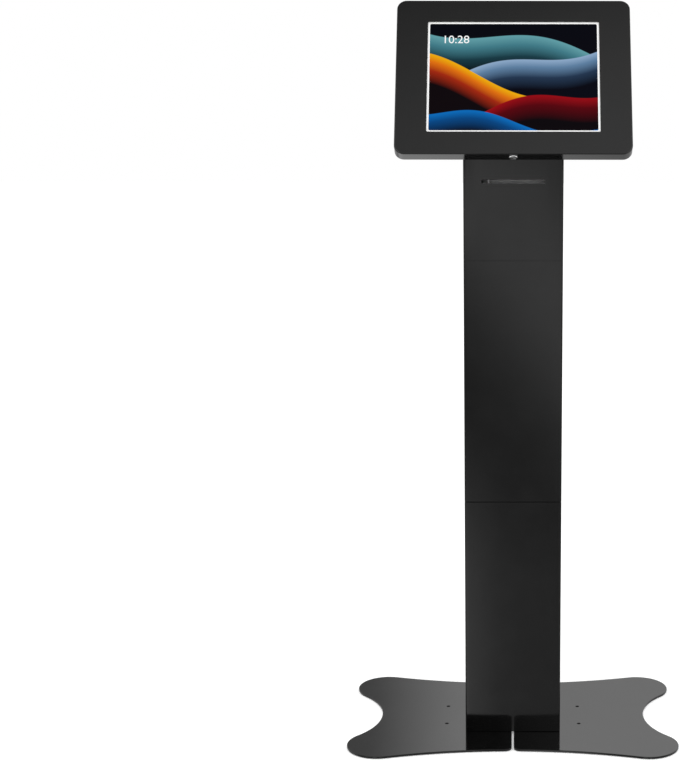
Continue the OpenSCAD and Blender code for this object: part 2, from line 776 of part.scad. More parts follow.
module cover_hinge_rod() {
    half = knuckle_in + knuckle_w + 2;
    color(steel) on_face() translate([-half, rod_y, rod_z]) rotate([0, 90, 0])
        cylinder(h = 2 * half, r = rod_r);
}

module enclosure_cover() {
    wall_r = enc_r - cover_t;
    color(black) on_face() difference() {
        union() {
            difference() {
                translate([0, 0, -enc_t]) linear_extrude(enc_t) round_rect(enc_w, enc_h, enc_r);
                translate([0, 0, -enc_t - 1]) linear_extrude(enc_t + 1 - cover_t)
                    round_rect(enc_w - 2 * cover_t, enc_h - 2 * cover_t, wall_r);
                translate([0, 0, -cover_t - 1]) linear_extrude(cover_t + 2)
                    round_rect(window_w, window_h, 1.5);
            }
            // lugs that turn on the rod
            for (s = [-1, 1])
                translate([s * (knuckle_in + 0.4 + knuckle_w / 2), 0, 0])
                along(-knuckle_w / 2, knuckle_w / 2) {
                    translate([rod_y, rod_z]) circle(barrel_r);
                    translate([rod_y, rod_z - 2]) square([cover_pin_in - cover_t / 2, 4]);
                }
        }
        translate([-enc_w, rod_y, rod_z]) rotate([0, 90, 0]) cylinder(h = 2 * enc_w, r = rod_r + run_clear);
        translate([0, -half_h - 1, lock_w]) rotate([-90, 0, 0])
            cylinder(h = cover_t + 2, r = cover_lock_barrel_d / 2 + hole_clear);
    }
}

// lock frame: local z points up the face, zero at the cover's bottom edge
module at_cover_lock() {
    on_face() translate([0, -half_h, lock_w]) rotate([-90, 0, 0]) children();
}

module cover_lock_body() {
    r_in = cover_lock_plug_d / 2 + run_clear;
    color(steel) at_cover_lock() rotate_extrude() polygon([
        [r_in, -cover_lock_head_t], [cover_lock_head_d / 2 - 0.5, -cover_lock_head_t],
        [cover_lock_head_d / 2, -cover_lock_head_t + 0.5], [cover_lock_head_d / 2, 0],
        [cover_lock_barrel_d / 2, 0], [cover_lock_barrel_d / 2, cover_t + cover_lock_barrel_l],
        [r_in, cover_t + cover_lock_barrel_l]
    ]);
}

module cover_lock_plug() {
    top = cover_t + cover_lock_barrel_l;
    color(steel) at_cover_lock() difference() {
        union() {
            translate([0, 0, -cover_lock_head_t])
                cylinder(h = top + cover_lock_head_t + 0.2, d = cover_lock_plug_d);
            cylinder(h = top + cover_cam_t + 0.8, d = cover_lock_plug_d * 0.6);
            translate([0, 0, top + cover_cam_t + 0.4]) cylinder(h = 1.2, d = cover_lock_plug_d * 0.9);
        }
        translate([-0.6, -cover_lock_plug_d * 0.36, -cover_lock_head_t - 1])
            cube([1.2, cover_lock_plug_d * 0.72, 3]);
    }
}

// short cam that points back into the tray when unlocked
module cover_lock_cam() {
    color(steel) at_cover_lock() translate([0, 0, cover_t + cover_lock_barrel_l + 0.3]) difference() {
        union() {
            cylinder(h = cover_cam_t, r = cover_hub_r);
            translate([-2.2, 0, 0]) cube([4.4, cover_cam_reach - 0.6, cover_cam_t]);
        }
        translate([0, 0, -1]) cylinder(h = cover_cam_t + 2, r = cover_lock_plug_d * 0.3 + nut_gap);
    }
}

// four blocks that carry the tablet's corners
module corner_holders() {
    block = 30;
    wall = 4;
    gap = 0.3;
    color(rubber) on_face()
        for (su = [0, 1])
            for (sv = [0, 1])
                mirror([su, 0, 0]) mirror([0, sv, 0]) difference() {
                    translate([tab_w / 2 - block, tab_h / 2 - block, tray_front])
                        cube([block + wall + gap, block + wall + gap, tab_front - 1.5 - tray_front]);
                    translate([0, 0, tab_back]) linear_extrude(enc_t)
                        round_rect(tab_w + 2 * gap, tab_h + 2 * gap, tab_r + gap);
                }
}

// pocket of one tablet key; local z points out of the tablet's edge
module key_shape(extra, depth) {
    linear_extrude(depth) round_rect(key_l + 2 * extra, key_w + 2 * extra, (key_w + 2 * extra) / 2 - 0.05);
}

module at_power_key() {
    translate([-tab_w / 2, tab_h / 2 - key_in, key_z]) rotate([0, -90, 0]) rotate([0, 0, 90]) children();
}

module at_volume_key(i) {
    translate([-tab_w / 2 + key_in + i * 16, tab_h / 2, key_z]) rotate([-90, 0, 0]) children();
}

module tablet_key() {
    translate([0, 0, -0.8]) key_shape(0, 1.3);
}

module tablet_shell() {
    color([0.75, 0.76, 0.78]) on_face() difference() {
        translate([0, 0, tab_back]) linear_extrude(tab_t - pane_t) round_rect(tab_w, tab_h, tab_r);
        at_power_key() translate([0, 0, -0.8 - key_travel - 0.3]) key_shape(0.2, 3);
        for (i = [0, 1])
            at_volume_key(i) translate([0, 0, -0.8 - key_travel - 0.3]) key_shape(0.2, 3);
    }
}

module tablet_bezel() {
    color([0.93, 0.93, 0.93]) on_face() translate([0, 0, tab_front - pane_t])
    linear_extrude(pane_t) difference() {
        round_rect(tab_w - 0.6, tab_h - 0.6, tab_r - 0.3);
        round_rect(disp_w + 0.1, disp_h + 0.1, 2.05);
    }
}

module tablet_display() {
    color([0.1, 0.3, 0.4]) on_face() translate([0, 0, tab_front - pane_t]) linear_extrude(pane_t)
        round_rect(disp_w, disp_h, 2);
}

module tablet_power_button() color(steel) on_face() at_power_key() tablet_key();
module tablet_volume_up() color(steel) on_face() at_volume_key(0) tablet_key();
module tablet_volume_down() color(steel) on_face() at_volume_key(1) tablet_key();

base_plate_left();
base_plate_right();
base_pads();
foot_plate();
foot_bolts();
foot_nuts();
lower_column();
middle_column();
upper_column();
seam_bolts();
seam_nuts();
head_cap();
head_grommet();
slot_guide();
guide_screws();
lower_hinge_pins();
middle_hinge_pins();
upper_hinge_pins();
lower_door();
lower_lock_body();
lower_lock_nut();
lower_lock_plug();
lower_lock_cam();
middle_door();
middle_lock_body();
middle_lock_nut();
middle_lock_plug();
middle_lock_cam();
upper_door();
upper_lock_body();
upper_lock_nut();
upper_lock_plug();
upper_lock_cam();
outlet_grommet();
enclosure_tray();
tray_bolts();
tray_nuts();
cover_hinge_rod();
corner_holders();
enclosure_cover();
cover_lock_body();
cover_lock_plug();
cover_lock_cam();
tablet_shell();
tablet_bezel();
tablet_display();
tablet_power_button();
tablet_volume_up();
tablet_volume_down();
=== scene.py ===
import bpy
import json
import math
from mathutils import Matrix, Vector


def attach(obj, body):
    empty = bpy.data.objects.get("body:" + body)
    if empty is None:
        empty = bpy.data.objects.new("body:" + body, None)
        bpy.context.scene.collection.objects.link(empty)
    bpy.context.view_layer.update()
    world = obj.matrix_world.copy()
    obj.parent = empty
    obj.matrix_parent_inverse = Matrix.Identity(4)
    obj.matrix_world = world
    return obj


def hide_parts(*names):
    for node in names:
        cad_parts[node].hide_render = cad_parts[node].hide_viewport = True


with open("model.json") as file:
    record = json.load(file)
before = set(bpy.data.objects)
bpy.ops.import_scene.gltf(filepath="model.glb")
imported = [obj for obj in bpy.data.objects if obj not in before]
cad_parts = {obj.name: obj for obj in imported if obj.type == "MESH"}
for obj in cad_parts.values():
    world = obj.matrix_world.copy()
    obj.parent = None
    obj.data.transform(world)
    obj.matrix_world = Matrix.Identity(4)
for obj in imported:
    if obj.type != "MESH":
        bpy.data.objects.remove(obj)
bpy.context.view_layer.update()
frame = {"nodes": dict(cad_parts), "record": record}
nodes = frame["nodes"]
bodyOfNode = {n: b for b, members in frame["record"]["behaviour"]["bodies"].items() for n in members}
columnLevels = ("lower", "middle", "upper")
print("frame loaded:", len(nodes), "CAD nodes")

meshCare = {
    "weld": 0.000002,      # points nearer than this are one
    "near": 0.0002,        # how far from its place an edge may lie and still be picked
    "cut": 0.00001,        # a cut this near a point passes through it
    "flat": 0.6,           # degrees: faces within this make one flat
    "breakAngle": 40.0,    # degrees: edges sharper than this are broken
    "breakSteps": 2,
    "smoothAngle": 50.0,   # degrees: edges blunter than this are shaded smooth
}


# small helpers for picking things

def deselectAll():
    if bpy.context.object and bpy.context.object.mode != "OBJECT":
        bpy.ops.object.mode_set(mode="OBJECT")
    bpy.ops.object.select_all(action="DESELECT")


def makeActive(obj):
    deselectAll()
    obj.select_set(True)
    bpy.context.view_layer.objects.active = obj


def applyModifier(obj, kind, **settings):
    makeActive(obj)
    mod = obj.modifiers.new(kind.lower(), kind)
    for key, value in settings.items():
        setattr(mod, key, value)
    bpy.ops.object.modifier_apply(modifier=mod.name)


def selectEdges(obj, test):
    # works in edit mode: leaves only the edges selected whose two ends pass the test
    bpy.ops.mesh.select_mode(type="EDGE")
    bpy.ops.mesh.select_all(action="DESELECT")
    bpy.ops.object.mode_set(mode="OBJECT")
    points = obj.data.vertices
    for edge in obj.data.edges:
        edge.select = test(points[edge.vertices[0]].co, points[edge.vertices[1]].co)
    bpy.ops.object.mode_set(mode="EDIT")


def smoothPiece(obj):
    # flat sheet stays flat right up to its broken edge
    makeActive(obj)
    bpy.ops.object.shade_smooth_by_angle(angle=math.radians(meshCare["smoothAngle"]))
    applyModifier(obj, "WEIGHTED_NORMAL", mode="FACE_AREA", weight=100, keep_sharp=True)


def finishPiece(obj, node, material):
    # the dressed piece rides where its CAD node rides and stands for it
    obj.data.materials.clear()
    obj.data.materials.append(material)
    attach(obj, bodyOfNode[node])
    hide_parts(node)


# nodes and groups that several finishes share

def newGroup(name, inputs, outputs):
    group = bpy.data.node_groups.new(name, "ShaderNodeTree")
    for label, kind, value in inputs:
        socket = group.interface.new_socket(name=label, in_out="INPUT", socket_type=kind)
        if value is not None:
            socket.default_value = value
    for label, kind in outputs:
        group.interface.new_socket(name=label, in_out="OUTPUT", socket_type=kind)
    return group, group.nodes.new("NodeGroupInput"), group.nodes.new("NodeGroupOutput")


def addNoise(tree, vector, scale, detail=3.0, rough=0.5):
    noise = tree.nodes.new("ShaderNodeTexNoise")
    noise.inputs["Detail"].default_value = detail
    noise.inputs["Roughness"].default_value = rough
    tree.links.new(vector, noise.inputs["Vector"])
    if isinstance(scale, float):
        noise.inputs["Scale"].default_value = scale
    else:
        tree.links.new(scale, noise.inputs["Scale"])
    return noise.outputs["Fac"]


def addRange(tree, value, low, high, toLow=0.0, toHigh=1.0, smooth=False):
    node = tree.nodes.new("ShaderNodeMapRange")
    node.interpolation_type = "SMOOTHSTEP" if smooth else "LINEAR"
    tree.links.new(value, node.inputs["Value"])
    ends = (("From Min", low), ("From Max", high), ("To Min", toLow), ("To Max", toHigh))
    for label, end in ends:
        if isinstance(end, (int, float)):
            node.inputs[label].default_value = end
        else:
            tree.links.new(end, node.inputs[label])
    return node.outputs["Result"]


def addMath(tree, operation, *values):
    node = tree.nodes.new("ShaderNodeMath")
    node.operation = operation
    for i, value in enumerate(values):
        if isinstance(value, (int, float)):
            node.inputs[i].default_value = value
        else:
            tree.links.new(value, node.inputs[i])
    return node.outputs["Value"]


def addMix(tree, factor, first, second):
    node = tree.nodes.new("ShaderNodeMix")
    node.data_type = "RGBA"
    for label, value in (("Factor", factor), ("A", first), ("B", second)):
        socket = [s for s in node.inputs if s.name == label and s.enabled][0]
        if isinstance(value, (tuple, int, float)):
            socket.default_value = value
        else:
            tree.links.new(value, socket)
    return [s for s in node.outputs if s.enabled][0]


def addRamp(tree, value, stops):
    node = tree.nodes.new("ShaderNodeValToRGB")
    band = node.color_ramp
    while len(band.elements) < len(stops):
        band.elements.new(0.5)
    for element, (place, colour) in zip(band.elements, stops):
        element.position = place
        element.color = colour if len(colour) == 4 else (*colour, 1.0)
    tree.links.new(value, node.inputs["Fac"])
    return node.outputs["Color"]


def grey(value):
    return (value, value, value, 1.0)


def addGreyRamp(tree, value, stops):
    return addRamp(tree, value, [(place, grey(tone)) for place, tone in stops])


surfaceMarks = {
    "rubbedEdge": (0.52, 0.60),     # pointiness where rubbing starts and where it is full
    "patchNoise": (70.0, 4.0),      # scale and detail
    "patches": (0.45, 0.65),
    "upward": (0.6, 1.0),           # dust settles on faces that look up
    "speckNoise": (240.0, 5.0, 0.7),
    "specks": (0.5, 0.8),
    "cloudNoise": (14.0, 4.0, 0.6),
    "clouds": (0.3, 0.7),
    "dustDulls": 0.2,               # roughness that full dust adds
    "grainDetail": 2.0,
}


def makeSurfaceGroup():
    # tone, gloss and grain of a hard finish: rubbed edges, a trace of settled dust, cloudy gloss
    group, source, result = newGroup(
        "surfaceFinish",
        [
            ("Vector", "NodeSocketVector", None),
            ("Tone", "NodeSocketColor", grey(0.5)),
            ("Rubbed Tone", "NodeSocketColor", grey(0.6)),
            ("Dust Tone", "NodeSocketColor", grey(0.3)),
            ("Dust", "NodeSocketFloat", 0.0),
            ("Grain Scale", "NodeSocketFloat", 800.0),
            ("Gloss Low", "NodeSocketFloat", 0.2),
            ("Gloss High", "NodeSocketFloat", 0.3),
        ],
        [("Color", "NodeSocketColor"), ("Roughness", "NodeSocketFloat"), ("Height", "NodeSocketFloat")],
    )
    place = source.outputs["Vector"]
    geometry = group.nodes.new("ShaderNodeNewGeometry")
    marks = surfaceMarks
    edge = addRange(group, geometry.outputs["Pointiness"], *marks["rubbedEdge"])
    patches = addRange(group, addNoise(group, place, *marks["patchNoise"]), *marks["patches"])
    rubbed = addMix(group, addMath(group, "MULTIPLY", edge, patches),
                    source.outputs["Tone"], source.outputs["Rubbed Tone"])
    facing = group.nodes.new("ShaderNodeSeparateXYZ")
    group.links.new(geometry.outputs["Normal"], facing.inputs["Vector"])
    upward = addRange(group, facing.outputs["Z"], *marks["upward"])
    specks = addRange(group, addNoise(group, place, *marks["speckNoise"]), *marks["specks"])
    dust = addMath(group, "MULTIPLY", addMath(group, "MULTIPLY", upward, specks), source.outputs["Dust"])
    group.links.new(addMix(group, dust, rubbed, source.outputs["Dust Tone"]), result.inputs["Color"])
    gloss = addRange(group, addNoise(group, place, *marks["cloudNoise"]), *marks["clouds"],
                     source.outputs["Gloss Low"], source.outputs["Gloss High"])
    dulled = addMath(group, "ADD", gloss, addMath(group, "MULTIPLY", dust, marks["dustDulls"]))
    group.links.new(dulled, result.inputs["Roughness"])
    grain = addNoise(group, place, source.outputs["Grain Scale"], marks["grainDetail"])
    group.links.new(grain, result.inputs["Height"])
    return group


surfaceGroup = makeSurfaceGroup()


def makeFinish(name, look):
    mat = bpy.data.materials.new(name)
    mat.use_nodes = True
    tree = mat.node_tree
    shader = tree.nodes["Principled BSDF"]
    coords = tree.nodes.new("ShaderNodeTexCoord")
    mapping = tree.nodes.new("ShaderNodeMapping")
    mapping.inputs["Scale"].default_value = look.get("stretch", (1.0, 1.0, 1.0))
    tree.links.new(coords.outputs["Object"], mapping.inputs["Vector"])
    surface = tree.nodes.new("ShaderNodeGroup")
    surface.node_tree = surfaceGroup
    tree.links.new(mapping.outputs["Vector"], surface.inputs["Vector"])
    surface.inputs["Tone"].default_value = look["tone"]
    surface.inputs["Rubbed Tone"].default_value = look["rubbed"]
    surface.inputs["Dust Tone"].default_value = look.get("dustTone", grey(0.2))
    surface.inputs["Dust"].default_value = look.get("dust", 0.0)
    surface.inputs["Grain Scale"].default_value = look["grain"]
    surface.inputs["Gloss Low"].default_value = look["gloss"][0]
    surface.inputs["Gloss High"].default_value = look["gloss"][1]
    colour = surface.outputs["Color"]
    if "lip" in look:   # painted shade: darker towards the chute's mouth at the front of the object
        depth = tree.nodes.new("ShaderNodeSeparateXYZ")
        tree.links.new(coords.outputs["Object"], depth.inputs["Vector"])
        front, back, shade = look["lip"]
        colour = addMix(tree, addRange(tree, depth.outputs["Y"], front, back), grey(shade), colour)
    tree.links.new(colour, shader.inputs["Base Color"])
    tree.links.new(surface.outputs["Roughness"], shader.inputs["Roughness"])
    bump = tree.nodes.new("ShaderNodeBump")
    bump.inputs["Strength"].default_value = look["bump"]
    bump.inputs["Distance"].default_value = look["depth"]
    tree.links.new(surface.outputs["Height"], bump.inputs["Height"])
    tree.links.new(bump.outputs["Normal"], shader.inputs["Normal"])
    shader.inputs["Metallic"].default_value = look.get("metal", 0.0)
    shader.inputs["Coat Weight"].default_value = look.get("coat", 0.0)
    return mat


finishLooks = {
    "blackPaint": {"tone": grey(0.0030), "rubbed": grey(0.0055), "dustTone": grey(0.02), "dust": 0.12,
                   "grain": 1100.0, "gloss": (0.07, 0.11), "bump": 0.05, "depth": 0.00006},
    "brightChrome": {"tone": grey(0.95), "rubbed": grey(0.97), "grain": 500.0, "stretch": (1.0, 1.0, 6.0),
                     "gloss": (0.10, 0.20), "bump": 0.08, "depth": 0.00005, "metal": 1.0},
    "zincSteel": {"tone": (0.56, 0.57, 0.58, 1.0), "rubbed": grey(0.7), "grain": 700.0,
                  "gloss": (0.28, 0.42), "bump": 0.15, "depth": 0.00008, "metal": 1.0},
    "blackRubber": {"tone": grey(0.016), "rubbed": grey(0.03), "dustTone": grey(0.1), "dust": 0.2,
                    "grain": 1500.0, "gloss": (0.62, 0.78), "bump": 0.3, "depth": 0.0001},
    "tabletMetal": {"tone": (0.55, 0.56, 0.58, 1.0), "rubbed": grey(0.7), "grain": 2500.0,
                    "gloss": (0.32, 0.38), "bump": 0.1, "depth": 0.00004, "metal": 1.0},
    "greyPlastic": {"tone": grey(0.52), "rubbed": grey(0.58), "dustTone": grey(0.4), "dust": 0.15,
                    "lip": (-0.0635, -0.058, 0.05),   # painted shade at the mouth: front, back, and the tone at the front
                    "grain": 1300.0, "gloss": (0.45, 0.58), "bump": 0.2, "depth": 0.00008},
    "whiteBezel": {"tone": grey(0.94), "rubbed": grey(0.95), "grain": 900.0,
                   "gloss": (0.12, 0.18), "bump": 0.02, "depth": 0.00004, "coat": 0.3},
}
finishes = {name: makeFinish(name, look) for name, look in finishLooks.items()}
print("finishes made:", ", ".join(finishes))


# the picture on the lit display: soft waves laid over each other, in the display's own plane
displayPlace = {
    "centre": (0.0, -0.0442, 0.952),   # middle of the enclosure's front
    "lean": 32.7,                      # degrees back from upright
    "halfWide": 0.1149,
    "halfHigh": 0.0821,
}
displayTilt = math.radians(90.0 - displayPlace["lean"])

screenGlass = {
    "tone": 0.001,
    "mirror": 0.03,                  # the pane hardly mirrors the room
    "smearNoise": (24.0, 4.0, 0.6),  # scale, detail and roughness of the noise
    "smears": (0.35, 0.7),
    "gloss": (0.03, 0.08),
}
backTones = [(0.0, (0.0005, 0.0005, 0.002)), (1.0, (0.0008, 0.001, 0.004))]   # behind the waves
waveEdge = 0.006   # half the soft edge of a crest
waveLayers = [
    # height, slope, swing, waves, phase, fade, tones from the crest down
    {"height": 0.66, "slope": -0.36, "swing": 0.22, "waves": 2.3, "phase": 0.6, "fade": 0.62,
     "tones": [(0.0, (0.12, 0.34, 0.38)), (0.3, (0.05, 0.19, 0.235)), (0.65, (0.008, 0.04, 0.055)),
               (1.0, (0.0008, 0.002, 0.004))]},
    {"height": 0.20, "slope": 0.44, "swing": 0.18, "waves": 2.7, "phase": 2.4, "fade": 0.56,
     "tones": [(0.0, (0.27, 0.40, 0.58)), (0.25, (0.11, 0.21, 0.35)), (0.6, (0.016, 0.035, 0.075)),
               (1.0, (0.0008, 0.001, 0.005))]},
    {"height": -0.14, "slope": -0.42, "swing": 0.16, "waves": 2.9, "phase": 4.4, "fade": 0.66,
     "tones": [(0.0, (0.84, 0.42, 0.002)), (0.22, (0.72, 0.16, 0.004)), (0.48, (0.34, 0.02, 0.004)),
               (0.85, (0.003, 0.0008, 0.002))]},
    {"height": -0.56, "slope": 0.32, "swing": 0.15, "waves": 3.3, "phase": 1.2, "fade": 0.46,
     "tones": [(0.0, (0.30, 0.002, 0.006)), (0.4, (0.09, 0.0, 0.003)), (1.0, (0.002, 0.0006, 0.002))]},
    {"height": -0.84, "slope": -0.20, "swing": 0.12, "waves": 3.7, "phase": 3.1, "fade": 0.36,
     "tones": [(0.0, (0.002, 0.15, 0.50)), (0.4, (0.001, 0.06, 0.22)), (1.0, (0.001, 0.006, 0.02))]},
]


def makeWaveGroup():
    group, source, result = newGroup(
        "screenWaves", [("Vector", "NodeSocketVector", None)], [("Color", "NodeSocketColor")])
    split = group.nodes.new("ShaderNodeSeparateXYZ")
    group.links.new(source.outputs["Vector"], split.inputs["Vector"])
    across = addMath(group, "DIVIDE", split.outputs["X"], displayPlace["halfWide"])
    upward = addMath(group, "DIVIDE", split.outputs["Y"], displayPlace["halfHigh"])
    colour = addRamp(group, addMath(group, "MULTIPLY_ADD", upward, 0.5, 0.5), backTones)
    for layer in waveLayers:
        swing = addMath(group, "MULTIPLY_ADD", across, layer["waves"], layer["phase"])
        swing = addMath(group, "SINE", swing)
        crest = addMath(group, "MULTIPLY_ADD", across, layer["slope"], layer["height"])
        crest = addMath(group, "MULTIPLY_ADD", swing, layer["swing"], crest)
        depth = addMath(group, "SUBTRACT", crest, upward)
        tone = addRamp(group, addMath(group, "DIVIDE", depth, layer["fade"]), layer["tones"])
        cover = addRange(group, depth, -waveEdge, waveEdge)
        colour = addMix(group, cover, colour, tone)
    group.links.new(colour, result.inputs["Color"])
    return group


def makeScreen():
    mat = bpy.data.materials.new("litScreen")
    mat.use_nodes = True
    tree = mat.node_tree
    shader = tree.nodes["Principled BSDF"]
    coords = tree.nodes.new("ShaderNodeTexCoord")
    mapping = tree.nodes.new("ShaderNodeMapping")
    turn = Matrix.Rotation(-displayTilt, 3, "X")
    mapping.inputs["Rotation"].default_value = (-displayTilt, 0.0, 0.0)
    mapping.inputs["Location"].default_value = -(turn @ Vector(displayPlace["centre"]))
    tree.links.new(coords.outputs["Object"], mapping.inputs["Vector"])
    waves = tree.nodes.new("ShaderNodeGroup")
    waves.node_tree = makeWaveGroup()
    tree.links.new(mapping.outputs["Vector"], waves.inputs["Vector"])
    tree.links.new(waves.outputs["Color"], shader.inputs["Emission Color"])
    shader.inputs["Emission Strength"].default_value = 1.0
    shader.inputs["Base Color"].default_value = grey(screenGlass["tone"])
    shader.inputs["Specular IOR Level"].default_value = screenGlass["mirror"]
    smears = addNoise(tree, mapping.outputs["Vector"], *screenGlass["smearNoise"])
    gloss = addRange(tree, smears, *screenGlass["smears"], *screenGlass["gloss"])
    tree.links.new(gloss, shader.inputs["Roughness"])
    return mat


finishes["litScreen"] = makeScreen()
print("display picture made:", len(waveLayers), "waves")


# folded and cut pieces: a merged copy of the CAD node with its edges broken as on real sheet

holeX = {
    # how far the holes stand from the middle line
    "floorHole": 0.0975,
    "footBolt": 0.053,
    "seamBolt": 0.051,
    "trayBolt": 0.048,
    "hingePin": -0.062,
    "doorLock": 0.041,
    "keys": (-0.070, -0.054),
}
seamSplits = (holeX["hingePin"], -holeX["seamBolt"], 0.0, holeX["seamBolt"])
traySplits = (-holeX["trayBolt"], 0.0, holeX["trayBolt"])
splitLines = {
    # node: where its flats are split, left to right, so that no flat has a hole in it
    "base_plate_left": (-holeX["floorHole"], -holeX["footBolt"]),
    "base_plate_right": (holeX["footBolt"], holeX["floorHole"]),
    "lower_column": (holeX["hingePin"], -holeX["footBolt"], -holeX["seamBolt"], 0.0,
                     holeX["seamBolt"], holeX["footBolt"]),
    "middle_column": seamSplits,
    "upper_column": seamSplits,
    "head_cap": traySplits,
    "enclosure_tray": traySplits,
    "enclosure_cover": (0.0,),
    "foot_plate": (-holeX["footBolt"], 0.0, holeX["footBolt"]),
    "tablet_shell": (*holeX["keys"], 0.0),
    "cover_lock_body": (0.0,),
    "cover_lock_plug": (0.0,),
}
for level in columnLevels:
    splitLines[level + "_door"] = (holeX["hingePin"], 0.0, holeX["doorLock"])
    splitLines[level + "_lock_body"] = splitLines[level + "_lock_plug"] = (holeX["doorLock"],)


def splitFlats(lines):
    # the cuts pass through the middles of the holes, and stay when the flats are merged again
    for x in lines:
        bpy.ops.mesh.select_all(action="SELECT")
        bpy.ops.mesh.bisect(plane_co=(x, 0.0, 0.0), plane_no=(1.0, 0.0, 0.0), threshold=meshCare["cut"])
        bpy.ops.mesh.mark_seam(clear=False)
    bpy.ops.mesh.select_all(action="SELECT")
    bpy.ops.mesh.dissolve_limited(angle_limit=math.radians(meshCare["flat"]), delimit={"SEAM"})


def dressNode(node, name, material, edge, shape=None):
    mesh = nodes[node].data.copy()
    mesh.name = name
    obj = bpy.data.objects.new(name, mesh)
    bpy.context.scene.collection.objects.link(obj)
    makeActive(obj)
    if mesh.has_custom_normals:
        bpy.ops.mesh.customdata_custom_splitnormals_clear()
    bpy.ops.object.mode_set(mode="EDIT")
    bpy.ops.mesh.select_mode(type="VERT")
    bpy.ops.mesh.select_all(action="SELECT")
    bpy.ops.mesh.remove_doubles(threshold=meshCare["weld"])
    bpy.ops.mesh.dissolve_limited(angle_limit=math.radians(meshCare["flat"]))
    splitFlats(splitLines.get(node, ()))
    if shape:
        shape(obj)
    bpy.ops.object.mode_set(mode="OBJECT")
    if edge > 0.0:
        applyModifier(obj, "BEVEL", width=edge, segments=meshCare["breakSteps"], limit_method="ANGLE",
                      angle_limit=math.radians(meshCare["breakAngle"]), use_clamp_overlap=False,
                      miter_outer="MITER_ARC")
    smoothPiece(obj)
    finishPiece(obj, node, material)


columnRims = {
    # node: level of its lowest edge, how far that edge is taken in, and in how many steps
    "lower_column": (0.0040, 0.0010, 2),
    "middle_column": (0.3530, 0.0013, 1),
}
columnHalf = {
    "wide": 0.069,
    "deep": 0.064,
    "bend": 0.0021,        # a folded corner starts this far from the side
    "sideSkin": 0.0005,    # an edge whose middle lies this near the outside is on the rim
    "frontSkin": 0.0008,
}


def easeRim(node):
    # a column section's lowest edge is rolled in, so a dark line shows where it stands on the piece below
    level, inset, steps = columnRims[node]
    near = meshCare["near"]
    wide, deep = columnHalf["wide"], columnHalf["deep"]

    def isRimEdge(a, b):
        low = max(abs(a.z - level), abs(b.z - level)) < near
        out = all(abs(p.x) > wide - columnHalf["bend"] and abs(p.y) < deep + near
                  or p.y < near - deep for p in (a, b))
        mid = (a + b) / 2
        onRim = abs(mid.x) > wide - columnHalf["sideSkin"] or mid.y < columnHalf["frontSkin"] - deep
        return low and out and onRim

    def shape(obj):
        selectEdges(obj, isRimEdge)
        bpy.ops.mesh.bevel(offset=inset, segments=steps, affect="EDGES", clamp_overlap=True)

    return shape


coverRim = {
    "turn": 0.0016,
    "segments": 4,
    "windowWide": 0.13,    # the window's edges lie within these half sizes
    "windowHigh": 0.10,
}


def roundRim(obj):
    # the cover's front edge is folded, so it is rounder than a cut edge
    up = Matrix.Rotation(displayTilt, 3, "X").transposed()
    middle = Vector(displayPlace["centre"])

    def isRimPoint(p):
        spot = up @ (p - middle)
        outside = abs(spot.x) > coverRim["windowWide"] or abs(spot.y) > coverRim["windowHigh"]
        return abs(spot.z) < meshCare["near"] and outside

    selectEdges(obj, lambda a, b: isRimPoint(a) and isRimPoint(b))
    bpy.ops.mesh.bevel(offset=coverRim["turn"], segments=coverRim["segments"], affect="EDGES",
                       clamp_overlap=True)


sheetPieces = {
    # node: (piece, edge in metres)
    "base_plate_left": ("leftFloorPlate", 0.0005),
    "base_plate_right": ("rightFloorPlate", 0.0005),
    "lower_column": ("lowerColumnSheet", 0.00045),
    "middle_column": ("middleColumnSheet", 0.0003),
    "upper_column": ("upperColumnSheet", 0.0003),
    "head_cap": ("headCapSheet", 0.0003),
    "lower_door": ("lowerDoorTray", 0.0003),
    "middle_door": ("middleDoorTray", 0.0003),
    "upper_door": ("upperDoorTray", 0.0003),
    "enclosure_tray": ("enclosureBack", 0.0003),
    "enclosure_cover": ("enclosureFront", 0.0004),
}
shapeOf = {node: easeRim(node) for node in columnRims}
shapeOf["enclosure_cover"] = roundRim
for node, (name, edge) in sheetPieces.items():
    dressNode(node, name, finishes["blackPaint"], edge, shape=shapeOf.get(node))
print("sheet pieces dressed:", len(sheetPieces))

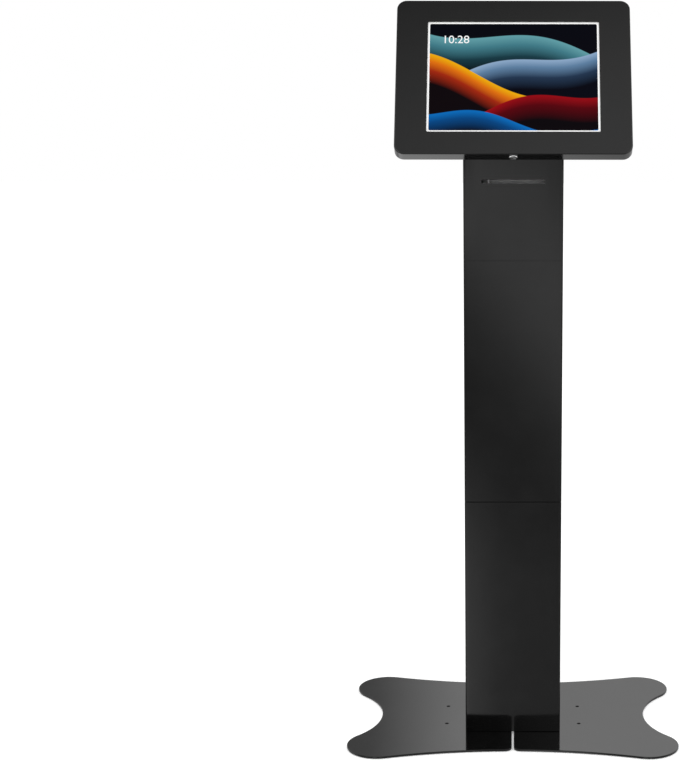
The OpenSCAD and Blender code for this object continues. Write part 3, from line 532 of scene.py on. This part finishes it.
slotToFinish = {
    "black_paint": "blackPaint",
    "bright_chrome": "brightChrome",
    "zinc_steel": "zincSteel",
    "black_rubber": "blackRubber",
    "tablet_metal": "tabletMetal",
    "white_bezel": "whiteBezel",
    "grey_plastic": "greyPlastic",
    "screen": "litScreen",
}
smallPieces = {
    # node: (piece, record slot, edge in metres)
    "foot_plate": ("footPlate", "black_paint", 0.0003),
    "slot_guide": ("slotChute", "grey_plastic", 0.00015),
    "head_grommet": ("headGrommet", "black_rubber", 0.0006),
    "outlet_grommet": ("outletGrommet", "black_rubber", 0.0006),
    "base_pads": ("floorPads", "black_rubber", 0.0001),
    "corner_holders": ("cornerHolders", "black_rubber", 0.0003),
    "cover_hinge_rod": ("coverHingeRod", "zinc_steel", 0.0002),
    "tablet_shell": ("tabletBack", "tablet_metal", 0.0003),
    "tablet_bezel": ("tabletBorder", "white_bezel", 0.0),
    "tablet_display": ("tabletDisplay", "screen", 0.0),
    "tablet_power_button": ("tabletPowerKey", "tablet_metal", 0.0001),
    "tablet_volume_up": ("tabletVolumeUpKey", "tablet_metal", 0.0001),
    "tablet_volume_down": ("tabletVolumeDownKey", "tablet_metal", 0.0001),
    "cover_lock_body": ("coverLockRing", "bright_chrome", 0.0002),
    "cover_lock_plug": ("coverLockPlug", "bright_chrome", 0.00015),
    "cover_lock_cam": ("coverLockCam", "zinc_steel", 0.0002),
    "foot_bolts": ("footBolts", "zinc_steel", 0.00015),
    "foot_nuts": ("footNuts", "zinc_steel", 0.0003),
    "seam_bolts": ("seamBolts", "zinc_steel", 0.00015),
    "seam_nuts": ("seamNuts", "zinc_steel", 0.0003),
    "tray_bolts": ("trayBolts", "zinc_steel", 0.00015),
    "tray_nuts": ("trayNuts", "zinc_steel", 0.0003),
    "guide_screws": ("chuteScrews", "zinc_steel", 0.0001),
}
for level in columnLevels:
    smallPieces[level + "_hinge_pins"] = (level + "HingePins", "zinc_steel", 0.0002)
    smallPieces[level + "_lock_body"] = (level + "LockRing", "bright_chrome", 0.0003)
    smallPieces[level + "_lock_nut"] = (level + "LockNut", "zinc_steel", 0.0003)
    smallPieces[level + "_lock_plug"] = (level + "LockPlug", "bright_chrome", 0.0002)
    smallPieces[level + "_lock_cam"] = (level + "LockCam", "zinc_steel", 0.0002)
for node, (name, slotName, edge) in smallPieces.items():
    dressNode(node, name, finishes[slotToFinish[slotName]], edge)
print("small pieces dressed:", len(smallPieces))


# the time on the display: thin raised figures on the pane
clockFigures = {
    "time": "10:28",
    "high": 0.017,
    "across": -0.098,      # from the display's middle to the first figure's foot
    "up": 0.052,
    "pane": -0.0020,       # the pane lies this far behind the cover's front
    "thick": 0.00004,
    "weld": 0.000001,
    "tone": 0.01,
    "flicker": 900.0,      # scale of the noise between the two glows
    "glow": [(0.3, 0.88), (0.7, 0.96)],
}


def makeClock():
    deselectAll()
    bpy.ops.object.text_add(location=(0.0, 0.0, 0.0))
    obj = bpy.context.object
    obj.name = "displayClock"
    obj.data.body = clockFigures["time"]
    obj.data.size = clockFigures["high"]
    obj.data.extrude = clockFigures["thick"] / 2
    bpy.ops.object.convert(target="MESH")
    bpy.ops.object.mode_set(mode="EDIT")
    bpy.ops.mesh.select_all(action="SELECT")
    bpy.ops.mesh.remove_doubles(threshold=clockFigures["weld"])
    bpy.ops.object.mode_set(mode="OBJECT")
    lift = clockFigures["pane"] + clockFigures["thick"] / 2
    turn = Matrix.Rotation(displayTilt, 4, "X")
    place = Matrix.Translation((clockFigures["across"], clockFigures["up"], lift))
    obj.matrix_world = Matrix.Translation(displayPlace["centre"]) @ turn @ place
    bpy.ops.object.transform_apply(location=True, rotation=True, scale=True)
    glow = bpy.data.materials.new("clockGlow")
    glow.use_nodes = True
    tree = glow.node_tree
    shader = tree.nodes["Principled BSDF"]
    coords = tree.nodes.new("ShaderNodeTexCoord")
    flicker = addNoise(tree, coords.outputs["Object"], clockFigures["flicker"])
    tree.links.new(addGreyRamp(tree, flicker, clockFigures["glow"]), shader.inputs["Emission Color"])
    shader.inputs["Emission Strength"].default_value = 1.0
    shader.inputs["Base Color"].default_value = grey(clockFigures["tone"])
    obj.data.materials.clear()
    obj.data.materials.append(glow)
    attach(obj, "stand")


makeClock()
print("clock set on the display")


# stage: a white floor, a white room with dim gaps between its bright walls, two soft lamps
studio = {
    "floorSize": 14.0,
    "floorTone": 0.96,
    "floorLift": 0.25,       # what the camera sees on top of the lit floor
    "roomLight": 1.0,
    "lampSize": 1.6,
    "lamps": [(10.0, (-1.3, -1.6, 2.6)), (9.0, (1.4, -1.6, 2.4))],   # power and place
    "lampAim": (0.0, 0.0, 0.5),
}


def makeFloor():
    deselectAll()
    bpy.ops.mesh.primitive_plane_add(size=studio["floorSize"], location=(0.0, 0.0, 0.0))
    floor = bpy.context.object
    floor.name = "studioFloor"
    mat = bpy.data.materials.new("paleFloor")
    mat.use_nodes = True
    tree = mat.node_tree
    shader = tree.nodes["Principled BSDF"]
    shader.inputs["Base Color"].default_value = grey(studio["floorTone"])
    shader.inputs["Roughness"].default_value = 1.0
    shader.inputs["Specular IOR Level"].default_value = 0.0
    light = tree.nodes.new("ShaderNodeLightPath")
    seen = addMath(tree, "MULTIPLY", light.outputs["Is Camera Ray"], studio["floorLift"])
    shader.inputs["Emission Color"].default_value = grey(1.0)
    tree.links.new(seen, shader.inputs["Emission Strength"])
    floor.data.materials.append(mat)
    floor.visible_glossy = False   # gloss shows the room itself, so the paint reflects even walls


roomWalls = {
    # what gloss sees of the room, by direction
    # a range is from and to, and then what these become where that isn't 0 and 1
    "lowRound": [   # low down, from straight in front (0) to straight behind (1)
        (0.0, 0.40), (0.12, 0.44), (0.18, 0.56), (0.26, 0.56), (0.33, 0.42), (0.40, 0.50),
        (0.46, 0.98), (0.54, 0.98), (0.60, 0.80), (0.72, 0.86), (0.84, 0.86), (1.0, 0.95)],
    "dipHeight": (-0.50, 0.0),
    "dip": [(0.0, 0.74), (0.34, 0.80), (0.44, 0.62), (0.56, 0.58), (0.66, 0.84), (0.76, 1.0), (1.0, 1.0)],
    "screenEdge": (0.12, 0.07),        # a screen in front, shaded on a slant
    "screenSlant": 1.25,
    "screenRange": (-0.25, -0.05),
    "screen": [
        (0.0, 0.18), (0.05, 0.19), (0.13, 0.27), (0.20, 0.37), (0.27, 0.51), (0.345, 0.71), (0.41, 0.84),
        (0.475, 0.90), (0.54, 0.91), (0.60, 0.89), (0.67, 0.83), (0.74, 0.74), (0.80, 0.66), (1.0, 0.50)],
    "screenFoot": (-0.265, -0.325, 0.0, 0.16),
    "stripSide": (-0.0165, -0.0215),   # a pale strip at the screen's left
    "stripHeight": (-0.235, -0.31),
    "stripTone": 0.72,
    "highRound": [(0.0, 0.7), (0.2, 0.5), (0.3, 0.55), (0.7, 0.55), (0.85, 0.93), (1.0, 0.93)],
    "glowHeight": (0.365, 0.405, 0.0, 0.25),   # the walls brighten from here up
    "glowTone": 2.0,
    "cardRound": (0.08, 0.05),         # a card high in front, dark at its left
    "cardBottom": (0.26, 0.31),
    "cardTop": (0.54, 0.49),
    "cardTone": (-0.006, 0.016, 0.0, 1.05),
    "backNear": 0.05,                  # the back wall dims towards its left
    "backDim": (-0.031, -0.080, 0.0, 0.71),
    "backLeft": (-0.40, -0.14),
    "backOnly": (0.0, 0.1),
    "lowToHigh": (0.02, 0.16),
    "ceilingSlope": (1.9, -3.7, -1.10),   # across, backwards, and at the top
    "ceilingStep": (-0.448, -0.430, 0.0, 0.18),
    "ceilingTone": (0.30, 0.86, 0.30, 0.86),
    "highToCeiling": (0.60, 0.82),
    "groundAcross": (-0.06, 0.06, 1.72, 0.76),
    "groundBack": (-0.3, 0.3, 0.25, 1.0),
    "lowToGround": (-0.50, -0.78),
    "clothSide": (0.25, 0.45),         # a pale cloth low at either side of the front
    "clothHeight": (-0.42, -0.52),
    "clothMiddle": 0.23,
    "clothReach": (0.25, 0.12),
    "clothTone": 2.2,
}


def makeRoom():
    world = bpy.data.worlds.new("whiteRoom")
    bpy.context.scene.world = world
    world.use_nodes = True
    tree = world.node_tree
    tree.nodes.clear()
    out = tree.nodes.new("ShaderNodeOutputWorld")
    coords = tree.nodes.new("ShaderNodeTexCoord")
    split = tree.nodes.new("ShaderNodeSeparateXYZ")
    tree.links.new(coords.outputs["Generated"], split.inputs["Vector"])
    dx, dy, dz = (split.outputs[axis] for axis in "XYZ")
    # how far round the object: 0 straight in front, 1 straight behind
    turn = addMath(tree, "ARCTAN2", dx, addMath(tree, "MULTIPLY", dy, -1.0))
    around = addMath(tree, "DIVIDE", addMath(tree, "ABSOLUTE", turn), math.pi)

    def wall(value, name, smooth=False):
        return addRange(tree, value, *roomWalls[name], smooth=smooth)

    def both(first, second):
        return addMath(tree, "MULTIPLY", first, second)

    # low down the walls are dim at the front half, bright at the sides and the back, and dip half way down
    low = addGreyRamp(tree, around, roomWalls["lowRound"])
    low = both(low, addGreyRamp(tree, wall(dz, "dipHeight"), roomWalls["dip"]))
    slant = addMath(tree, "MULTIPLY_ADD", dx, roomWalls["screenSlant"], dz)
    screen = addGreyRamp(tree, wall(slant, "screenRange"), roomWalls["screen"])
    # lower down the screen lifts a little, and a pale strip stands at its left
    strip = both(wall(dx, "stripSide"), wall(dz, "stripHeight"))
    lift = addMath(tree, "MULTIPLY_ADD", strip, roomWalls["stripTone"], wall(dz, "screenFoot"))
    screen = addMath(tree, "ADD", screen, lift)
    low = addMix(tree, wall(around, "screenEdge", smooth=True), low, screen)
    high = addGreyRamp(tree, around, roomWalls["highRound"])
    high = addMix(tree, wall(dz, "glowHeight"), high, grey(roomWalls["glowTone"]))
    # the foot and the plates before it show the card in each other
    card = both(both(wall(around, "cardRound"), wall(dz, "cardBottom")), wall(dz, "cardTop"))
    high = addMix(tree, card, high, wall(dx, "cardTone"))
    side = addMath(tree, "DIVIDE", dx, addMath(tree, "MAXIMUM", dy, roomWalls["backNear"]))
    dim = both(both(wall(side, "backDim"), wall(side, "backLeft", smooth=True)), wall(dy, "backOnly"))
    high = addMix(tree, dim, high, grey(0.0))
    light = addMix(tree, wall(dz, "lowToHigh", smooth=True), low, high)
    # ceiling, a little brighter towards the front right, and the floor seen from below the enclosure
    across, backwards, top = roomWalls["ceilingSlope"]
    ceiling = addMath(tree, "MULTIPLY_ADD", dx, across, addMath(tree, "MULTIPLY_ADD", dy, backwards, top))
    ceiling = wall(addMath(tree, "SUBTRACT", ceiling, wall(dy, "ceilingStep")), "ceilingTone")
    light = addMix(tree, wall(dz, "highToCeiling", smooth=True), light, ceiling)
    ground = both(wall(dx, "groundAcross"), wall(dy, "groundBack"))
    light = addMix(tree, wall(dz, "lowToGround", smooth=True), light, ground)
    # the lock's ring shows the cloths
    reach = addMath(tree, "ABSOLUTE", addMath(tree, "ADD", dy, roomWalls["clothMiddle"]))
    cloth = both(wall(addMath(tree, "ABSOLUTE", dx), "clothSide"), wall(dz, "clothHeight"))
    light = addMix(tree, both(cloth, wall(reach, "clothReach")), light, grey(roomWalls["clothTone"]))
    path = tree.nodes.new("ShaderNodeLightPath")
    room = tree.nodes.new("ShaderNodeBackground")
    tree.links.new(light, room.inputs["Color"])
    plain = tree.nodes.new("ShaderNodeBackground")
    plain.inputs["Color"].default_value = grey(1.0)
    plain.inputs["Strength"].default_value = studio["roomLight"]
    mix = tree.nodes.new("ShaderNodeMixShader")
    tree.links.new(path.outputs["Is Glossy Ray"], mix.inputs[0])
    tree.links.new(plain.outputs[0], mix.inputs[1])
    tree.links.new(room.outputs[0], mix.inputs[2])
    tree.links.new(mix.outputs[0], out.inputs["Surface"])


def makeLamps():
    for power, spot in studio["lamps"]:
        deselectAll()
        place = Vector(spot)
        bpy.ops.object.light_add(type="AREA", location=place)
        lamp = bpy.context.object
        lamp.name = "softLamp"
        lamp.data.shape = "DISK"
        lamp.data.size = studio["lampSize"]
        lamp.data.energy = power
        aim = Vector(studio["lampAim"]) - place
        lamp.rotation_euler = aim.to_track_quat("-Z", "Y").to_euler()


frontView = {
    "place": (0.0, -2.6496, 1.1037),
    "turn": (77.18, -0.0585, 0.0133),   # degrees
    "sensor": 36.0,
    "lens": 89.297,
    "shift": (-0.22817, 0.0143),        # the stand is right of the middle of the frame
    "nearest": 0.05,
}


def makeCamera():
    deselectAll()
    turn = [math.radians(angle) for angle in frontView["turn"]]
    bpy.ops.object.camera_add(location=frontView["place"], rotation=turn)
    camera = bpy.context.object
    camera.name = "frontCamera"
    camera.data.sensor_width = frontView["sensor"]
    camera.data.lens = frontView["lens"]
    camera.data.shift_x, camera.data.shift_y = frontView["shift"]
    camera.data.clip_start = frontView["nearest"]
    bpy.context.scene.camera = camera


makeFloor()
makeRoom()
makeLamps()
makeCamera()
bpy.context.scene.view_settings.view_transform = "Standard"
print("stage, room, lamps and camera set")
